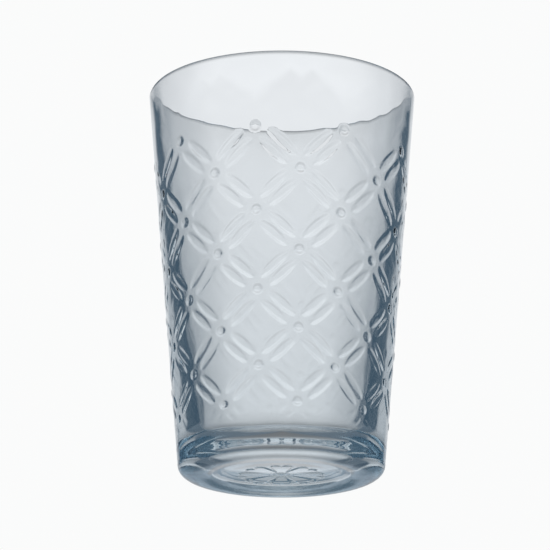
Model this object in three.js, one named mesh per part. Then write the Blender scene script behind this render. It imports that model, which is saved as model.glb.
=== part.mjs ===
// A tapered pressed-glass drinking tumbler with a quilted relief of beads and twin leaves.
// Millimetres, +Z up. The origin is the centre of the foot, on the resting plane.
import * as THREE from 'three';

// Body
const HEIGHT = 120;
const RIM_RADIUS = 40.7;
const FOOT_RADIUS = 30.5;
const LIP_HEIGHT = 1.25;

// Cavity. The wall is measured level, at the rim and where its taper would reach the table.
// The corner meets the dished floor at the floor's edge, where the floor has its tilt in degrees.
const RIM_WALL = 2.29;
const FOOT_WALL = 8.57;
const FLOOR_EDGE_HEIGHT = 6.57;
const FLOOR_CORNER = 8.68;
const FLOOR_TILT = 15;

// Underside. A fullness of 2 makes the heel a plain ellipse, and more makes it squarer.
const HEEL_WIDTH = 6.56;
const HEEL_HEIGHT = 4.04;
const HEEL_FULLNESS = 2.47;
const RING_WIDTH = 3.15;
const RECESS_EDGE = 3.77;
const RECESS_EDGE_HEIGHT = 0.21;
const RECESS_DOME = 0.85;

// Rosette moulded in the recess
const PETALS = 8;
const ROSETTE_RADIUS = 12.6;
const ROSETTE_HEIGHT = 0.3;
const ROSETTE_EYE = 2.4;

// Quilted relief on the outer wall
const COLUMNS = 9;
const ROWS = 8;
const TOP_ROW_HEIGHT = 97;
const ROW_DROP = 12.7;
const FIRST_ANGLE = -11.8;
const BEAD_RADIUS = 1.65;
const BEAD_HEIGHT = 0.26;
const LEAF_LENGTH = 11.6;
const LEAF_WIDTH = 3.2;
const LEAF_GAP = 0.7;
const LEAF_HEIGHT = 0.18;
const FADE_LENGTH = 8;
const MARGIN = 1.2;

// Facets round the plain turned surfaces, and steps along their rounded stretches
const SEGMENTS = 72;
const ARC_STEPS = 6;
const FLOOR_STEPS = 4;

const GLASS_COLOUR = '#aebbc6';
const GLASS_ROUGHNESS = 0.05;
const GLASS_METALNESS = 0;

const outerSlope = (RIM_RADIUS - FOOT_RADIUS) / HEIGHT;
const cavitySlope = outerSlope + (FOOT_WALL - RIM_WALL) / HEIGHT;
const outerRadius = (z) => FOOT_RADIUS + outerSlope * z;
const cavityRadius = (z) => FOOT_RADIUS - FOOT_WALL + cavitySlope * z;
const radians = (degrees) => degrees * Math.PI / 180;

const vertices = [];
const triangles = [];

function addPoint(radius, angle, z) {
  vertices.push(radius * Math.sin(angle), -radius * Math.cos(angle), z);
  return vertices.length / 3 - 1;
}

function addQuad(a, b, c, d) {
  triangles.push(a, b, c, a, c, d);
}

// Angle of a point about the axis, between 0 and a full turn
function angleOf(index) {
  const angle = Math.atan2(vertices[3 * index], -vertices[3 * index + 1]);
  return (angle + 2 * Math.PI) % (2 * Math.PI);
}

// Closed ring of points, starting at angle zero
function turnedRing(radius, z) {
  const ring = [];
  for (let i = 0; i < SEGMENTS; i++) {
    const angle = 2 * Math.PI * i / SEGMENTS;
    ring.push(addPoint(radius, angle, typeof z === 'function' ? z(radius, angle) : z));
  }
  return ring;
}

// Surface between two rings of equal count. It faces outward when the first ring lies below the second.
function band(first, second) {
  for (let i = 0; i < first.length; i++) {
    const j = (i + 1) % first.length;
    addQuad(first[i], first[j], second[j], second[i]);
  }
}

// Surface between two rings of any count, both in order of angle, joined by nearest angle
function zip(first, second) {
  const start = (ring) => {
    let lowest = 0;
    ring.forEach((point, i) => {
      if (angleOf(point) < angleOf(ring[lowest])) lowest = i;
    });
    return ring.slice(lowest).concat(ring.slice(0, lowest));
  };
  const a = start(first);
  const b = start(second);
  const turn = (ring, i) => angleOf(ring[i % ring.length]) + (i >= ring.length ? 2 * Math.PI : 0);
  let i = 0;
  let j = 0;
  while (i < a.length || j < b.length) {
    const stepFirst = j >= b.length || (i < a.length && turn(a, i + 1) <= turn(b, j + 1));
    const p = a[i % a.length];
    const q = b[j % b.length];
    if (stepFirst) {
      triangles.push(p, a[(i + 1) % a.length], q);
      i += 1;
    } else {
      triangles.push(p, b[(j + 1) % b.length], q);
      j += 1;
    }
  }
}

// Lattice of the relief. Row 1 is the top row of beads. The rows draw together as the glass narrows, so
// the diamonds keep their shape down the taper. Plain rows frame it above and below.
const topRowRadius = outerRadius(TOP_ROW_HEIGHT);
const halfPitch = Math.PI / COLUMNS;
const rowRatio = 1 - outerSlope * ROW_DROP / topRowRadius;
const cellEdge = Math.hypot(topRowRadius * halfPitch, ROW_DROP);
const leafReach = LEAF_GAP / 2 + LEAF_WIDTH;

function rowHeight(row) {
  let height = TOP_ROW_HEIGHT;
  for (let i = 1; i < row; i++) height -= ROW_DROP * rowRatio ** (i - 1);
  for (let i = 0; i >= row; i--) height += ROW_DROP * rowRatio ** (i - 1);
  return height;
}

// The plain rows stay on the wall, clear of the lip and the heel
const highestHeight = HEIGHT - LIP_HEIGHT - MARGIN;
const lowestHeight = HEEL_HEIGHT + MARGIN;
const latticeHeight = (row) => Math.min(Math.max(rowHeight(row), lowestHeight), highestHeight);

// Rows alternate by half a pitch
const latticeAngle = (column) => radians(FIRST_ANGLE) + column * halfPitch;

// Height of a leaf beside a lattice edge, a long oval dome, from the distance across and the distance
// from its middle
function leafProfile(across, along) {
  const fromRidge = across - (LEAF_GAP + LEAF_WIDTH) / 2;
  const q = Math.hypot(fromRidge / (LEAF_WIDTH / 2), along / (LEAF_LENGTH / 2));
  return q < 1 ? LEAF_HEIGHT * (1 - q ** 3) : 0;
}

function beadProfile(distance) {
  const q = distance / BEAD_RADIUS;
  return q < 1 ? BEAD_HEIGHT * (1 - q * q) : 0;
}

const isBead = (row) => row >= 1 && row <= ROWS;

// Strength of the leaves on the lattice edge below a row: whole between bead rows, fading below the last
function leafStrength(upperRow, fromUpper) {
  if (upperRow >= 1 && upperRow < ROWS) return 1;
  if (upperRow === ROWS) return Math.max(0, 1 - fromUpper / FADE_LENGTH);
  return 0;
}

// Relief inside a cell. The cell's top corner is on topRow; u runs down to the left, v down to the right.
function relief(topRow, u, v) {
  const a = u * cellEdge;
  const b = v * cellEdge;
  const ra = cellEdge - a;
  const rb = cellEdge - b;
  let height = 0;
  if (isBead(topRow)) height += beadProfile(Math.hypot(a, b));
  if (isBead(topRow + 1)) height += beadProfile(Math.hypot(ra, b)) + beadProfile(Math.hypot(a, rb));
  if (isBead(topRow + 2)) height += beadProfile(Math.hypot(ra, rb));
  height += leafStrength(topRow, b) * leafProfile(a, b - cellEdge / 2);
  height += leafStrength(topRow, a) * leafProfile(b, a - cellEdge / 2);
  height += leafStrength(topRow + 1, b) * leafProfile(ra, b - cellEdge / 2);
  height += leafStrength(topRow + 1, a) * leafProfile(rb, a - cellEdge / 2);
  return height;
}

// Grid lines across a cell: the valley, the ridge and the edge of the leaves, and the middle
const ridge = (LEAF_GAP + LEAF_WIDTH) / 2 / cellEdge;
const edge = leafReach / cellEdge;
const gridLines = [0, ridge, edge, 0.5, 1 - edge, 1 - ridge, 1];

// Points are shared between neighbouring cells by their place in the lattice
const pointAt = new Map();

function latticePoint(topRow, column, u, v) {
  const left = 1 - v;
  const up = 1 - u;
  const top = latticeHeight(topRow);
  const middle = latticeHeight(topRow + 1);
  const bottom = latticeHeight(topRow + 2);
  const z = top * up * left + middle * (u * left + up * v) + bottom * u * v;
  const place = column + v - u;
  const turn = 2 * COLUMNS;
  const wrapped = ((place % turn) + turn) % turn;
  const key = `${(topRow + u + v).toFixed(4)}|${(wrapped > turn - 1e-6 ? 0 : wrapped).toFixed(4)}`;
  if (!pointAt.has(key)) {
    pointAt.set(key, addPoint(outerRadius(z) + relief(topRow, u, v), latticeAngle(place), z));
  }
  return pointAt.get(key);
}

function latticeCell(topRow, column, lines, columns) {
  for (let i = 0; i + 1 < lines.length; i++) {
    for (let j = 0; j + 1 < columns.length; j++) {
      const p = latticePoint(topRow, column, lines[i], columns[j]);
      const q = latticePoint(topRow, column, lines[i + 1], columns[j]);
      const r = latticePoint(topRow, column, lines[i + 1], columns[j + 1]);
      const s = latticePoint(topRow, column, lines[i], columns[j + 1]);
      addQuad(p, q, r, s);
    }
  }
}

// Whole cells, from the plain row above the beads to the plain row below them
for (let topRow = 0; topRow < ROWS; topRow++) {
  for (let k = 0; k < COLUMNS; k++) {
    latticeCell(topRow, 2 * k + (topRow % 2 === 0 ? 1 : 0), gridLines, gridLines);
  }
}

// Narrow strips that carry the upper half of the top beads and the lower half of the fading leaves.
// Each strip follows the two sides of a cell that meet at a bead, and its free border is a zigzag.
const nearLines = gridLines.slice(0, 3);
const farLines = gridLines.slice(-3);
const wholeToFar = gridLines.slice(0, 5);
const nearToWhole = gridLines.slice(2);
const upperBorder = [];
const lowerBorder = [];
for (let k = 0; k < COLUMNS; k++) {
  const upper = (u, v) => upperBorder.push(latticePoint(-1, 2 * k, u, v));
  latticeCell(-1, 2 * k, farLines, gridLines);
  latticeCell(-1, 2 * k, wholeToFar, farLines);
  upper(1, 0);
  upper(farLines[1], 0);
  for (const v of wholeToFar) upper(farLines[0], v);
  for (const u of wholeToFar.slice(0, -1).reverse()) upper(u, farLines[0]);
  upper(0, farLines[1]);

  const lowerColumn = 2 * k + (ROWS % 2 === 0 ? 1 : 0);
  const lower = (u, v) => lowerBorder.push(latticePoint(ROWS, lowerColumn, u, v));
  latticeCell(ROWS, lowerColumn, nearLines, gridLines);
  latticeCell(ROWS, lowerColumn, nearToWhole, nearLines);
  lower(1, 0);
  lower(1, nearLines[1]);
  for (const u of nearToWhole.slice().reverse()) lower(u, nearLines[2]);
  for (const v of nearToWhole.slice(1)) lower(nearLines[2], v);
  lower(nearLines[1], 1);
}

// Points of part of an ellipse, between two angles in degrees
function arc(centreR, centreZ, startAngle, endAngle, width, height, steps) {
  const points = [];
  for (let i = 0; i <= steps; i++) {
    const angle = radians(startAngle + (endAngle - startAngle) * i / steps);
    points.push([centreR + width * Math.cos(angle), centreZ + height * Math.sin(angle)]);
  }
  return points;
}

// Lip: over the rim from the outer wall to the cavity wall
const lipBase = HEIGHT - LIP_HEIGHT;
const lipWidth = (outerRadius(lipBase) - cavityRadius(lipBase)) / 2;
const lip = arc(cavityRadius(lipBase) + lipWidth, lipBase, 0, 180, lipWidth, LIP_HEIGHT, 2 * ARC_STEPS);

// Cavity: rounded corner that runs from the tapered wall into the dished floor
const wallTilt = Math.atan(cavitySlope);
const floorTilt = radians(FLOOR_TILT);
const cornerZ = FLOOR_EDGE_HEIGHT + FLOOR_CORNER * Math.cos(floorTilt);
const cornerR = cavityRadius(cornerZ) - FLOOR_CORNER / Math.cos(wallTilt);
const cornerStart = -wallTilt * 180 / Math.PI;
const corner = arc(cornerR, cornerZ, cornerStart, FLOOR_TILT - 90, FLOOR_CORNER, FLOOR_CORNER, ARC_STEPS);
const floorEdgeRadius = cornerR + FLOOR_CORNER * Math.sin(floorTilt);
const floorDish = floorEdgeRadius * Math.tan(floorTilt) / 2;
const floorHeight = (radius) => FLOOR_EDGE_HEIGHT - floorDish * (1 - (radius / floorEdgeRadius) ** 2);

// Underside: full heel, flat resting ring, rounded edge of the recess and its low domed roof
const heelEnd = outerRadius(HEEL_HEIGHT) - HEEL_WIDTH;
const heel = [];
for (let i = 0; i <= ARC_STEPS; i++) {
  const angle = Math.PI / 2 * i / ARC_STEPS;
  const out = Math.sin(angle) ** (2 / HEEL_FULLNESS);
  const down = i < ARC_STEPS ? Math.cos(angle) ** (2 / HEEL_FULLNESS) : 0;
  heel.push([heelEnd + HEEL_WIDTH * out, HEEL_HEIGHT * (1 - down)]);
}
const recessEnd = heelEnd - RING_WIDTH - RECESS_EDGE;
const recess = arc(recessEnd, 0, 90, 0, RECESS_EDGE, RECESS_EDGE_HEIGHT, ARC_STEPS);
const roofHeight = (radius) => RECESS_EDGE_HEIGHT + RECESS_DOME * (1 - (radius / recessEnd) ** 2);

// A ring of rounded petals about a small round eye
function rosette(radius, angle) {
  const eye = radius / ROSETTE_EYE;
  if (eye < 1) return ROSETTE_HEIGHT * (1 - eye * eye);
  const along = (radius - ROSETTE_EYE) / (ROSETTE_RADIUS - ROSETTE_EYE);
  if (along >= 1) return 0;
  const across = Math.abs(Math.cos(PETALS * angle / 2));
  return ROSETTE_HEIGHT * 4 * along * (1 - along) * across;
}

const rosetteRings = [0.82, 0.6, 0.38];

const roof = (radius, angle) => roofHeight(radius) - rosette(radius, angle);

const outline = [];
for (let i = rosetteRings.length - 1; i >= 0; i--) {
  outline.push(turnedRing(ROSETTE_EYE + rosetteRings[i] * (ROSETTE_RADIUS - ROSETTE_EYE), roof));
}
const eyeRing = turnedRing(ROSETTE_EYE, roof);
const rosetteEdge = turnedRing(ROSETTE_RADIUS, roof);
const roofMiddle = addPoint(0, 0, roof(0, 0));
const recessRings = recess.map(([radius, z]) => turnedRing(radius, z));
const heelRings = heel.map(([radius, z]) => turnedRing(radius, z));
const lipRings = lip.map(([radius, z]) => turnedRing(radius, z));
const cornerRings = corner.map(([radius, z]) => turnedRing(radius, z));
const floorRings = [];
for (let i = FLOOR_STEPS - 1; i > 0; i--) {
  floorRings.push(turnedRing(floorEdgeRadius * i / FLOOR_STEPS, floorHeight));
}
const floorMiddle = addPoint(0, 0, floorHeight(0));

for (let i = 0; i < SEGMENTS; i++) {
  triangles.push(roofMiddle, eyeRing[(i + 1) % SEGMENTS], eyeRing[i]);
}
const underside = [eyeRing, ...outline, rosetteEdge, ...recessRings, ...heelRings];
for (let i = 0; i + 1 < underside.length; i++) band(underside[i], underside[i + 1]);
zip(heelRings[heelRings.length - 1], lowerBorder);
zip(upperBorder, lipRings[0]);
const inside = [...lipRings, ...cornerRings, ...floorRings];
for (let i = 0; i + 1 < inside.length; i++) band(inside[i], inside[i + 1]);
const innerRing = inside[inside.length - 1];
for (let i = 0; i < SEGMENTS; i++) {
  triangles.push(floorMiddle, innerRing[i], innerRing[(i + 1) % SEGMENTS]);
}

const geometry = new THREE.BufferGeometry();
geometry.setAttribute('position', new THREE.BufferAttribute(new Float32Array(vertices), 3));
geometry.setIndex(triangles);
geometry.computeVertexNormals();

const glass = new THREE.MeshStandardMaterial({
  color: GLASS_COLOUR,
  roughness: GLASS_ROUGHNESS,
  metalness: GLASS_METALNESS,
});

const tumbler = new THREE.Mesh(geometry, glass);
tumbler.name = 'tumbler';

const part = new THREE.Group();
part.name = 'glass_tumbler';
part.add(tumbler);

export default part;
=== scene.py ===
"""A pale blue-grey pressed-glass tumbler with a quilted relief, on a plain floor in soft studio light."""
import math

import bpy
import numpy as np
from mathutils import Matrix, Vector


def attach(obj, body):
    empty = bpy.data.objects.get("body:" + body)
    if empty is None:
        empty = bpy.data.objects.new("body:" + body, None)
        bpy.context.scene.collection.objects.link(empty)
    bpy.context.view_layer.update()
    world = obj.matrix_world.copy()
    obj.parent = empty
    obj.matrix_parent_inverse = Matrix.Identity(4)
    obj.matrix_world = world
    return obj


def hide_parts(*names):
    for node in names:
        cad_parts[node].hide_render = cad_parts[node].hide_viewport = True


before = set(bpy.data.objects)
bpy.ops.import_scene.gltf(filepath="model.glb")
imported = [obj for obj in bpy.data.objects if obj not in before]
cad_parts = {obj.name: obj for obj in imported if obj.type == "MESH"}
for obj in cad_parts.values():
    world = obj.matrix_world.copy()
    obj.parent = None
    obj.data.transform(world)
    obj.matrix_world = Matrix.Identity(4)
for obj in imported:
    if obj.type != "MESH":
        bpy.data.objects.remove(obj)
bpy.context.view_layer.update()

MM = 0.001

# Body, in millimetres
HEIGHT = 120.0
RIM_RADIUS = 40.7
FOOT_RADIUS = 30.5
LIP_HEIGHT = 1.25

# Cavity, in millimetres and degrees
RIM_WALL = 2.29
FOOT_WALL = 8.57
FLOOR_EDGE_HEIGHT = 6.57
FLOOR_CORNER = 8.68
FLOOR_TILT = 15.0

# Underside, in millimetres
HEEL_WIDTH = 6.56
HEEL_HEIGHT = 4.04
HEEL_FULLNESS = 2.47
RING_WIDTH = 3.15
RECESS_EDGE = 3.77
RECESS_EDGE_HEIGHT = 0.21
RECESS_DOME = 0.85

# Rosette moulded in the recess, in millimetres
PETALS = 8
ROSETTE_RADIUS = 12.6
ROSETTE_HEIGHT = 0.28
ROSETTE_EYE = 1.3
PETAL_STEM = 0.5
PETAL_LOBE = 1.85
LOBE_SPREAD = 1.7
PETAL_EDGE = 0.45

# Quilted relief, in millimetres and degrees
COLUMNS = 9
ROWS = 8
TOP_ROW_HEIGHT = 97.0
ROW_DROP = 12.7
FIRST_ANGLE = -11.8
BEAD_RADIUS = 1.65
BEAD_HEIGHT = 0.2
BEAD_FULLNESS = 4
LEAF_LENGTH = 11.6
LEAF_WIDTH = 3.2
LEAF_GAP = 0.7
LEAF_HEIGHT = 0.13
LEAF_FULLNESS = 5
LEAF_FADE = 8.0
HEEL_MARGIN = 1.2
SOFTNESS = 0.05
CRISPNESS = 2.0
INNER_SHARE = 0.3

# Fineness of the mesh
SEGMENTS = 180
LIP_STEPS = 12
WALL_STEPS = 8
CORNER_STEPS = 16
DISH_STEPS = 10
HEEL_STEPS = 18
RECESS_STEPS = 12
ROSETTE_STEPS = 40
ROOF_STEPS = 8
CLOSE_LINES = 12
WIDE_LINES = 8
LEAF_MARGIN = 0.7
LATTICE_PARTS = 100000

# Glass: ripple and haze are finer with a larger scale; the ripple's depth is in metres
GLASS_COLOUR = (0.947, 0.953, 0.956)
GLASS_IOR = 1.52
TINT_COLOUR = (0.33, 0.56, 0.685)
TINT_DENSITY = 14.0
RIPPLE_SCALE = 80.0
RIPPLE_DETAIL = 1.0
RIPPLE_DEPTH = 0.0002
HAZE_SCALE = 400.0
HAZE_DETAIL = 3.0
HAZE_NOISE = (0.35, 0.75)
HAZE_ROUGHNESS = (0.0, 0.02)
GLANCING = (0.55, 0.85)

# Floor and lamp, in metres and watts
FLOOR_COLOUR = (0.9, 0.9, 0.9)
FLOOR_REACH = 3.0
FLOOR_DROP = 0.0004
LAMP_SPOT = (0.2, -0.2, 1.0)
LAMP_SIZE = 0.8
LAMP_POWER = 6.0

# Tones of the surroundings
BACKDROP = (0.96, 0.965, 0.965)
FILL = (0.75, 0.75, 0.75)
COOL = (0.98, 1.0, 1.026)
COLD = (0.88, 1.0, 1.12)
SIDE_DARK = (0.06, 0.1, 0.14)
SIDE_HIGH = (0.19, 0.24, 0.28)
SIDE_LOW = (0.14, 0.18, 0.22)

# Light levels by height in degrees, upwards from straight down
SHEET = [
    (-90, 0.17), (-45, 0.21), (-25, 0.4), (-8, 0.58), (8, 0.71), (13, 0.82),
    (18, 0.92), (24, 0.8), (32, 0.5), (60, 0.5), (90, 0.6),
]
FRONT = [
    (-90, 0.1), (-70, 0.3), (-50, 0.9), (-35, 1.1), (-4, 1.2), (2, 0.35), (11, 0.35),
    (15, 0.9), (33, 0.6), (40, 0.4), (55, 0.4), (65, 0.6), (90, 0.6),
]
SOFT_BOXES = [
    (-90, 0.1), (-50, 0.9), (-35, 1.4), (-4, 1.9), (2, 0.35), (11, 0.35),
    (15, 1.5), (35, 0.9), (90, 0.6),
]
UNDERNEATH = [(-90, 0.16), (-24, 0.17), (-18, 0.3), (-14, 0.65), (-10, 0.75), (0, 0.75)]
BESIDE = [(-90, 0.1), (-24, 0.15), (-16, 0.2), (0, 0.2)]

# Where one light gives way to the next: heights, or turns away from straight behind the glass, in degrees
LOW_SIDE_HEIGHTS = (-10, -2)
HIGH_SIDE_HEIGHTS = (26, 40)
SHEET_TURNS = (2, 22)
SHEET_OUTER_LEVEL = 0.75
SHEET_EDGE_TURNS = (22, 32)
FRONT_TURNS = (85, 125)
LOW_MIRROR_HEIGHTS = (-10, -4)
LOW_MIRROR_TURNS = (40, 80)
UNDERNEATH_TURNS = (8, 25)

# Camera: focal length and the picture's centre in pixels, distances in metres, turns in degrees
PICTURE_SIZE = 550
FOCAL = 3316.0
CENTRE = (281.7, 283.7)
DISTANCE = 1.0
TILT = -17.0
ROLL = 0.12
SENSOR_MM = 36.0
CLIP_END = 50.0
LIGHT_BOUNCES = 48
CLEAR_BOUNCES = 24

outer_slope = (RIM_RADIUS - FOOT_RADIUS) / HEIGHT
cavity_slope = outer_slope + (FOOT_WALL - RIM_WALL) / HEIGHT
top_row_radius = FOOT_RADIUS + outer_slope * TOP_ROW_HEIGHT
half_pitch = math.pi / COLUMNS
row_ratio = 1 - outer_slope * ROW_DROP / top_row_radius
cell_edge = math.hypot(top_row_radius * half_pitch, ROW_DROP)
petal_pitch = 2 * math.pi / PETALS
lobe_place = ROSETTE_RADIUS - PETAL_LOBE
petal_width = LOBE_SPREAD + PETAL_LOBE
middle = Vector((0, 0, HEIGHT / 2 * MM))


def outer_radius(z):
    return FOOT_RADIUS + outer_slope * z


def cavity_radius(z):
    return FOOT_RADIUS - FOOT_WALL + cavity_slope * z


def row_height(row):
    """Rows count down from 1; they crowd as the wall narrows and stay clear of the heel."""
    height = (top_row_radius * row_ratio ** (row - 1) - FOOT_RADIUS) / outer_slope
    return max(height, HEEL_HEIGHT + HEEL_MARGIN)


heel_end = outer_radius(HEEL_HEIGHT) - HEEL_WIDTH
recess_end = heel_end - RING_WIDTH - RECESS_EDGE


def dome(spread):
    """Height of a low dome from how far out a point lies, with a softened foot."""
    inside = 1 - spread
    return (inside + np.sqrt(inside * inside + SOFTNESS * SOFTNESS)) / 2


def bead(distance):
    return BEAD_HEIGHT * dome((distance / BEAD_RADIUS) ** BEAD_FULLNESS)


def leaf(across, along):
    """Height of one leaf beside a lattice line: a long oval with a full top."""
    across = (across - (LEAF_GAP + LEAF_WIDTH) / 2) / (LEAF_WIDTH / 2)
    along = along / (LEAF_LENGTH / 2)
    return LEAF_HEIGHT * dome((across * across + along * along) ** (LEAF_FULLNESS / 2))


def leaf_strength(upper_row, from_upper):
    """Leaves are whole between rows of beads and fade out below the last row."""
    if 1 <= upper_row < ROWS:
        return 1.0
    if upper_row == ROWS:
        return np.clip(1 - from_upper / LEAF_FADE, 0, 1)
    return 0.0


def relief(top_row, u, v):
    """Height of the relief in a lattice cell, at the shares u and v of the edges below its top bead."""
    left, right = u * cell_edge, v * cell_edge
    left_rest, right_rest = cell_edge - left, cell_edge - right
    height = np.zeros_like(left)
    if 1 <= top_row <= ROWS:
        height += bead(np.hypot(left, right))
    if 1 <= top_row + 1 <= ROWS:
        height += bead(np.hypot(left_rest, right)) + bead(np.hypot(left, right_rest))
    if 1 <= top_row + 2 <= ROWS:
        height += bead(np.hypot(left_rest, right_rest))
    half = cell_edge / 2
    height += leaf_strength(top_row, right) * leaf(left, right - half)
    height += leaf_strength(top_row, left) * leaf(right, left - half)
    height += leaf_strength(top_row + 1, right) * leaf(left_rest, right - half)
    height += leaf_strength(top_row + 1, left) * leaf(right_rest, left - half)
    return height


def rosette(radius, angle):
    """A ring of low petals with notched tips about a small round eye."""
    turn = (angle + petal_pitch / 2) % petal_pitch - petal_pitch / 2
    along, across = radius * math.cos(turn), abs(radius * math.sin(turn))
    lobe = PETAL_LOBE - math.hypot(along - lobe_place, across - LOBE_SPREAD)
    stem_width = PETAL_STEM + (petal_width - PETAL_STEM) * max(along, 0.0) / lobe_place
    stem = min(stem_width - across, lobe_place - along, along - 2 * ROSETTE_EYE)
    inside = max(lobe, stem, ROSETTE_EYE - radius)
    share = min(max(inside / PETAL_EDGE, 0.0), 1.0)
    return ROSETTE_HEIGHT * share * share * (3 - 2 * share)


def roof_height(radius, angle):
    """The recess rises to a low dome inside its rounded edge, and the rosette hangs from it."""
    bare = RECESS_EDGE_HEIGHT + RECESS_DOME * (1 - (radius / recess_end) ** 2)
    return bare - rosette(radius, angle)


points = []
crisp_points = {}
faces = []
point_at = {}


def add_ring(radius, height):
    """A closed ring of points; height is a number or a function of the radius and the angle."""
    first = len(points)
    for i in range(SEGMENTS):
        angle = 2 * math.pi * i / SEGMENTS
        z = height(radius, angle) if callable(height) else height
        points.append((radius * math.sin(angle), -radius * math.cos(angle), z))
    return list(range(first, len(points)))


def join_rings(rings):
    """Bands of faces between rings of the same count, each with the next."""
    for upper, lower in zip(rings, rings[1:]):
        for i in range(SEGMENTS):
            j = (i + 1) % SEGMENTS
            faces.append((upper[i], upper[j], lower[j], lower[i]))


def close_ring(ring, height):
    """A fan of faces from a point on the axis to a ring."""
    tip = len(points)
    points.append((0, 0, height))
    for i, number in enumerate(ring):
        faces.append((tip, number, ring[(i + 1) % len(ring)]))


def angle_of(number):
    x, y, _ = points[number]
    return math.atan2(x, -y) % (2 * math.pi)


def zip_rings(first, second):
    """Joins two closed borders of different counts by nearest angle."""
    def ordered(ring):
        start = min(range(len(ring)), key=lambda i: angle_of(ring[i]))
        return ring[start:] + ring[:start]

    def turns(ring):
        return [angle_of(number) for number in ring] + [angle_of(ring[0]) + 2 * math.pi]

    first, second = ordered(first), ordered(second)
    first_turns, second_turns = turns(first), turns(second)
    i = j = 0
    while i < len(first) or j < len(second):
        here, there = first[i % len(first)], second[j % len(second)]
        if j >= len(second) or (i < len(first) and first_turns[i + 1] <= second_turns[j + 1]):
            faces.append((here, first[(i + 1) % len(first)], there))
            i += 1
        else:
            faces.append((here, second[(j + 1) % len(second)], there))
            j += 1


def add_cell(top_row, k, us, vs):
    """Adds a lattice cell or part of one; returns the numbers of its points, which neighbours share."""
    column = 2 * k + 1 - top_row % 2
    u, v = np.meshgrid(us, vs, indexing="ij")
    top, sides, bottom = (row_height(top_row + step) for step in range(3))
    z = top * (1 - u) * (1 - v) + sides * (u * (1 - v) + (1 - u) * v) + bottom * u * v
    rise = relief(top_row, u, v)
    angle = math.radians(FIRST_ANGLE) + (column + v - u) * half_pitch
    x_share, y_share = np.sin(angle), -np.cos(angle)
    radius = outer_radius(z) + rise
    crisp = outer_radius(z) + rise * CRISPNESS
    row_keys = np.round((top_row + u + v) * LATTICE_PARTS).astype(int)
    column_keys = np.round((column + v - u) * LATTICE_PARTS).astype(int) % (2 * COLUMNS * LATTICE_PARTS)
    grid = np.empty(u.shape, int)
    for spot in np.ndindex(u.shape):
        key = (row_keys[spot], column_keys[spot])
        if key not in point_at:
            point_at[key] = len(points)
            crisp_points[len(points)] = (crisp[spot] * x_share[spot], crisp[spot] * y_share[spot], z[spot])
            points.append((radius[spot] * x_share[spot], radius[spot] * y_share[spot], z[spot]))
        grid[spot] = point_at[key]
    for i in range(grid.shape[0] - 1):
        for j in range(grid.shape[1] - 1):
            faces.append((grid[i, j], grid[i + 1, j], grid[i + 1, j + 1], grid[i, j + 1]))
    return grid


def arc(centre_r, centre_z, start, end, width, height, steps):
    """Points along part of an ellipse, between two angles in degrees."""
    turns = [math.radians(start + (end - start) * i / steps) for i in range(steps + 1)]
    return [(centre_r + width * math.cos(turn), centre_z + height * math.sin(turn)) for turn in turns]


# Grid lines in a cell: close beside the beads and leaves, wider over the plain diamond
leaf_reach = (LEAF_GAP / 2 + LEAF_WIDTH + LEAF_MARGIN) / cell_edge
close_lines = np.linspace(0, leaf_reach, CLOSE_LINES)
wide_lines = np.linspace(leaf_reach, 1 - leaf_reach, WIDE_LINES)
lines = np.concatenate([close_lines, wide_lines[1:-1], 1 - close_lines[::-1]])

# Outer wall: whole cells, then strips along the first and last rows that end in zigzag borders
for top_row in range(ROWS):
    for k in range(COLUMNS):
        add_cell(top_row, k, lines, lines)

first_lines, last_lines = lines[:CLOSE_LINES], lines[-CLOSE_LINES:]
open_count = len(lines) - CLOSE_LINES + 1
upper_border = []
for k in range(COLUMNS):
    left_strip = add_cell(-1, k, last_lines, lines)
    right_strip = add_cell(-1, k, lines[:open_count], last_lines)
    upper_border += [*left_strip[::-1, 0], *left_strip[0, 1:open_count]]
    upper_border += [*right_strip[-2::-1, 0], *right_strip[0, 1:-1]]

lower_border = []
for k in range(COLUMNS):
    right_strip = add_cell(ROWS, k, first_lines, lines)
    left_strip = add_cell(ROWS, k, lines[CLOSE_LINES - 1:], first_lines)
    lower_border += [*left_strip[-1, :], *left_strip[-2::-1, -1]]
    lower_border += [*right_strip[-1, CLOSE_LINES:], *right_strip[-2:0:-1, -1]]

# Inside: over the lip, down the wall, round the corner and over the dished floor
lip_base = HEIGHT - LIP_HEIGHT
lip_width = (outer_radius(lip_base) - cavity_radius(lip_base)) / 2
lip = arc(cavity_radius(lip_base) + lip_width, lip_base, 0, 180, lip_width, LIP_HEIGHT, LIP_STEPS)
wall_tilt = math.degrees(math.atan(cavity_slope))
corner_z = FLOOR_EDGE_HEIGHT + FLOOR_CORNER * math.cos(math.radians(FLOOR_TILT))
corner_r = cavity_radius(corner_z) - FLOOR_CORNER / math.cos(math.atan(cavity_slope))
corner = arc(corner_r, corner_z, -wall_tilt, FLOOR_TILT - 90, FLOOR_CORNER, FLOOR_CORNER, CORNER_STEPS)
wall = []
for i in range(1, WALL_STEPS):
    share = i / WALL_STEPS
    wall.append(tuple(start + (end - start) * share for start, end in zip(lip[-1], corner[0])))
floor_edge = corner[-1][0]
floor_dish = floor_edge * math.tan(math.radians(FLOOR_TILT)) / 2
dish = []
for i in range(1, DISH_STEPS):
    share = 1 - i / DISH_STEPS
    dish.append((floor_edge * share, FLOOR_EDGE_HEIGHT - floor_dish * (1 - share * share)))
inner_rings = [add_ring(r, z) for r, z in lip + wall + corner + dish]
zip_rings(upper_border, inner_rings[0])
join_rings(inner_rings)
close_ring(inner_rings[-1], FLOOR_EDGE_HEIGHT - floor_dish)

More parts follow.
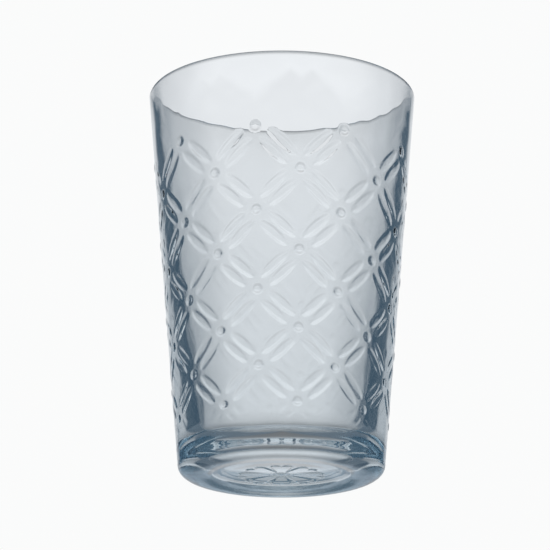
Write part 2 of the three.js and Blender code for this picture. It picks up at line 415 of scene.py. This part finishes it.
# Underside: from the middle of the recess out over the ring and up the heel
roof = [ROSETTE_RADIUS * (i + 1) / ROSETTE_STEPS for i in range(ROSETTE_STEPS)]
roof += [ROSETTE_RADIUS + (recess_end - ROSETTE_RADIUS) * i / ROOF_STEPS for i in range(1, ROOF_STEPS)]
recess = arc(recess_end, 0, 90, 0, RECESS_EDGE, RECESS_EDGE_HEIGHT, RECESS_STEPS)
heel = []
for i in range(HEEL_STEPS + 1):
    turn = math.radians(90 * i / HEEL_STEPS)
    out = math.sin(turn) ** (2 / HEEL_FULLNESS)
    down = math.cos(turn) ** (2 / HEEL_FULLNESS)
    heel.append((heel_end + HEEL_WIDTH * out, HEEL_HEIGHT * (1 - down)))
under_rings = [add_ring(r, roof_height) for r in roof]
under_rings += [add_ring(r, z) for r, z in recess + heel]
join_rings(under_rings)
zip_rings(under_rings[-1], lower_border)
close_ring(under_rings[0][::-1], roof_height(0, 0))


def new_mesh(name, corners):
    made = bpy.data.meshes.new(name)
    in_metres = [(x * MM, y * MM, z * MM) for x, y, z in corners]
    made.from_pydata(in_metres, [], [tuple(int(number) for number in face) for face in faces])
    made.shade_smooth()
    return made


def normals_of(made):
    values = np.empty(len(made.vertices) * 3)
    made.vertex_normals.foreach_get("vector", values)
    return values.reshape(-1, 3)


mesh = new_mesh("tumbler_glass", points)
soft_normals = normals_of(mesh)

# The relief catches the light more crisply than its low height alone would
crisp_mesh = new_mesh("crisp", [crisp_points.get(number, point) for number, point in enumerate(points)])
mesh.normals_split_custom_set_from_vertices(normals_of(crisp_mesh))
bpy.data.meshes.remove(crisp_mesh)

# A softer relief of the wall, for light from inside the glass and for glancing views
for number in point_at.values():
    x, y, _ = points[number]
    distance = math.hypot(x, y)
    bare = Vector((x / distance, y / distance, -outer_slope)).normalized()
    soft_normals[number] = bare.lerp(Vector(soft_normals[number]), INNER_SHARE)
soft_wall = mesh.attributes.new("soft_wall", "FLOAT_VECTOR", "POINT")
soft_wall.data.foreach_set("vector", soft_normals.ravel())

tumbler = bpy.data.objects.new("tumbler_glass", mesh)
bpy.context.scene.collection.objects.link(tumbler)
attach(tumbler, "root")
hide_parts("tumbler")


def feed(tree, socket, value):
    """Links an input to another node's output, or gives it a plain number or colour."""
    if isinstance(value, bpy.types.NodeSocket):
        tree.links.new(value, socket)
    elif socket.type == "RGBA":
        socket.default_value = (*value, 1.0)
    else:
        socket.default_value = value


def add_node(tree, kind, inputs, **settings):
    """A shader node with its settings, and its inputs fed by name or by place."""
    node = tree.nodes.new("ShaderNode" + kind)
    for name, value in settings.items():
        setattr(node, name, value)
    for name, value in inputs.items():
        feed(tree, node.inputs[name], value)
    return node


def calculate(tree, operation, *values):
    return add_node(tree, "Math", dict(enumerate(values)), operation=operation).outputs["Value"]


def change(tree, value, start, end, interpolation="LINEAR"):
    """Turns a value between the two of start into one between the two of end."""
    ends = {"From Min": start[0], "From Max": start[1], "To Min": end[0], "To Max": end[1]}
    node = add_node(tree, "MapRange", {"Value": value, **ends}, interpolation_type=interpolation)
    return node.outputs["Result"]


def mix_directions(tree, factor, first, second):
    return add_node(tree, "Mix", {0: factor, 4: first, 5: second}, data_type="VECTOR").outputs[1]


def mix_colours(tree, factor, first, second):
    """Mixes two colours; each is another node's output or a plain colour."""
    return add_node(tree, "Mix", {0: factor, 6: first, 7: second}, data_type="RGBA").outputs[2]


def cleared(owner):
    """The empty node tree of a new material or world."""
    owner.use_nodes = True
    owner.node_tree.nodes.clear()
    return owner.node_tree


def make_glass():
    """Clear tinted glass with the faint ripple and the faint haze of a pressed surface."""
    glass = bpy.data.materials.new("pale_blue_grey_glass")
    tree = cleared(glass)
    geometry = add_node(tree, "NewGeometry", {})
    soft = add_node(tree, "Attribute", {}, attribute_name="soft_wall").outputs["Vector"]
    glancing = add_node(tree, "LayerWeight", {"Normal": soft}).outputs["Facing"]
    softening = change(tree, glancing, GLANCING, (0.0, 1.0))
    outside = mix_directions(tree, softening, geometry.outputs["Normal"], soft)
    inward = add_node(tree, "VectorMath", {0: soft, "Scale": -1.0}, operation="SCALE").outputs["Vector"]
    facing = mix_directions(tree, geometry.outputs["Backfacing"], outside, inward)

    place = add_node(tree, "TexCoord", {}).outputs["Object"]
    ripple = add_node(tree, "TexNoise", {"Vector": place, "Scale": RIPPLE_SCALE, "Detail": RIPPLE_DETAIL})
    waves = add_node(tree, "Bump", {
        "Strength": 1.0,
        "Distance": RIPPLE_DEPTH,
        "Height": ripple.outputs["Fac"],
        "Normal": facing,
    })
    haze = add_node(tree, "TexNoise", {"Vector": place, "Scale": HAZE_SCALE, "Detail": HAZE_DETAIL})
    surface = add_node(tree, "BsdfPrincipled", {
        "Base Color": GLASS_COLOUR,
        "IOR": GLASS_IOR,
        "Transmission Weight": 1.0,
        "Roughness": change(tree, haze.outputs["Fac"], HAZE_NOISE, HAZE_ROUGHNESS),
        "Normal": waves.outputs["Normal"],
    })
    tint = add_node(tree, "VolumeAbsorption", {"Color": TINT_COLOUR, "Density": TINT_DENSITY})
    add_node(tree, "OutputMaterial", {"Surface": surface.outputs["BSDF"], "Volume": tint.outputs["Volume"]})
    return glass


def make_pale_floor():
    """Pale, and seen from above only, so that the view from below shows the underside of the glass."""
    pale_floor = bpy.data.materials.new("pale_floor")
    tree = cleared(pale_floor)
    from_below = add_node(tree, "NewGeometry", {}).outputs["Backfacing"]
    mirrored = add_node(tree, "LightPath", {}).outputs["Is Glossy Ray"]
    hidden = calculate(tree, "MAXIMUM", from_below, mirrored)
    pale = add_node(tree, "BsdfDiffuse", {"Color": FLOOR_COLOUR}).outputs["BSDF"]
    clear = add_node(tree, "BsdfTransparent", {}).outputs["BSDF"]
    surface = add_node(tree, "MixShader", {0: hidden, 1: pale, 2: clear}).outputs["Shader"]
    add_node(tree, "OutputMaterial", {"Surface": surface})
    return pale_floor


mesh.materials.append(make_glass())

# Floor
floor_mesh = bpy.data.meshes.new("floor")
floor_signs = [(-1, -1), (1, -1), (1, 1), (-1, 1)]
floor_mesh.from_pydata([(x * FLOOR_REACH, y * FLOOR_REACH, 0) for x, y in floor_signs], [], [(0, 1, 2, 3)])
floor_mesh.materials.append(make_pale_floor())
floor = bpy.data.objects.new("floor", floor_mesh)
floor.location.z = -FLOOR_DROP
bpy.context.scene.collection.objects.link(floor)


def over_angle(tree, angle, degrees, start, end, interpolation="SMOOTHSTEP"):
    """A value that goes from start to end between two angles in degrees."""
    return change(tree, angle, [math.radians(turn) for turn in degrees], (start, end), interpolation)


def levels(tree, height, stops, tone):
    """Light levels by height, in one tone."""
    node = add_node(tree, "ValToRGB", {"Fac": over_angle(tree, height, (-90, 90), 0.0, 1.0, "LINEAR")})
    elements = node.color_ramp.elements
    while len(elements) < len(stops):
        elements.new(0.5)
    for element, (degrees, level) in zip(elements, stops):
        element.position = (degrees + 90) / 180
        element.color = (*(level * share for share in tone), 1.0)
    return node.outputs["Color"]


def make_studio():
    """A white backdrop; the glass sees a bright sheet behind it, dark sides and a soft front."""
    studio = bpy.data.worlds.new("studio")
    tree = cleared(studio)
    direction = add_node(tree, "TexCoord", {}).outputs["Generated"]
    part = add_node(tree, "SeparateXYZ", {"Vector": direction}).outputs
    turn = calculate(tree, "ABSOLUTE", calculate(tree, "ARCTAN2", part["X"], part["Y"]))
    height = calculate(tree, "ARCSINE", part["Z"])

    # Light that comes through the glass
    low_sides = mix_colours(tree, over_angle(tree, height, LOW_SIDE_HEIGHTS, 0.0, 1.0), SIDE_LOW, SIDE_DARK)
    sides = mix_colours(tree, over_angle(tree, height, HIGH_SIDE_HEIGHTS, 0.0, 1.0), low_sides, SIDE_HIGH)
    sheet_share = calculate(
        tree, "MULTIPLY",
        over_angle(tree, turn, SHEET_TURNS, 1.0, SHEET_OUTER_LEVEL, "LINEAR"),
        over_angle(tree, turn, SHEET_EDGE_TURNS, 1.0, 0.0),
    )
    behind = mix_colours(tree, sheet_share, sides, levels(tree, height, SHEET, COOL))
    in_front = over_angle(tree, turn, FRONT_TURNS, 0.0, 1.0)
    around = mix_colours(tree, in_front, behind, levels(tree, height, FRONT, COOL))

    # Light that the glass mirrors: soft boxes in front, and a low light below and behind
    front_mirror = mix_colours(tree, in_front, around, levels(tree, height, SOFT_BOXES, COOL))
    low_light = mix_colours(
        tree, over_angle(tree, turn, UNDERNEATH_TURNS, 0.0, 1.0),
        levels(tree, height, UNDERNEATH, COLD),
        levels(tree, height, BESIDE, COLD),
    )
    low_share = calculate(
        tree, "MULTIPLY",
        over_angle(tree, height, LOW_MIRROR_HEIGHTS, 1.0, 0.0),
        over_angle(tree, turn, LOW_MIRROR_TURNS, 1.0, 0.0),
    )
    mirror = mix_colours(tree, low_share, front_mirror, low_light)

    path = add_node(tree, "LightPath", {}).outputs
    glass_light = mix_colours(tree, path["Is Transmission Ray"], mirror, around)
    by_glass = calculate(tree, "MAXIMUM", path["Is Glossy Ray"], path["Is Transmission Ray"])
    unseen = mix_colours(tree, by_glass, FILL, glass_light)
    shown = mix_colours(tree, path["Is Camera Ray"], unseen, BACKDROP)
    background = add_node(tree, "Background", {"Color": shown, "Strength": 1.0})
    add_node(tree, "OutputWorld", {"Surface": background.outputs["Background"]})
    return studio


bpy.context.scene.world = make_studio()

# Lamp overhead
lamp_data = bpy.data.lights.new("overhead", "AREA")
lamp_data.size = LAMP_SIZE
lamp_data.energy = LAMP_POWER
lamp = bpy.data.objects.new("overhead", lamp_data)
lamp.location = LAMP_SPOT
lamp.rotation_euler = (middle - Vector(LAMP_SPOT)).to_track_quat("-Z", "Y").to_euler()
lamp.visible_glossy = False
lamp.visible_transmission = False
bpy.context.scene.collection.objects.link(lamp)

# Camera: below the foot, looking up at the photograph's angle
tilt = math.radians(TILT)
camera_right = Vector((1, 0, 0))
camera_up = Vector((0, math.sin(tilt), math.cos(tilt)))
camera_back = Vector((0, -math.cos(tilt), math.sin(tilt)))
pixel = DISTANCE / FOCAL
camera_spot = middle + camera_back * DISTANCE
camera_spot -= camera_right * (CENTRE[0] - PICTURE_SIZE / 2) * pixel
camera_spot += camera_up * (CENTRE[1] - PICTURE_SIZE / 2) * pixel
camera_axes = Matrix((camera_right, camera_up, camera_back)).transposed().to_4x4()
camera_data = bpy.data.cameras.new("camera")
camera_data.sensor_width = SENSOR_MM
camera_data.lens = FOCAL * SENSOR_MM / PICTURE_SIZE
camera_data.clip_end = CLIP_END
camera = bpy.data.objects.new("camera", camera_data)
camera_roll = Matrix.Rotation(math.radians(ROLL), 4, "Z")
camera.matrix_world = Matrix.Translation(camera_spot) @ camera_axes @ camera_roll
bpy.context.scene.collection.objects.link(camera)
bpy.context.scene.camera = camera

scene = bpy.context.scene
scene.view_settings.view_transform = "Standard"
scene.cycles.max_bounces = LIGHT_BOUNCES
scene.cycles.transmission_bounces = LIGHT_BOUNCES
scene.cycles.glossy_bounces = LIGHT_BOUNCES
scene.cycles.transparent_max_bounces = CLEAR_BOUNCES
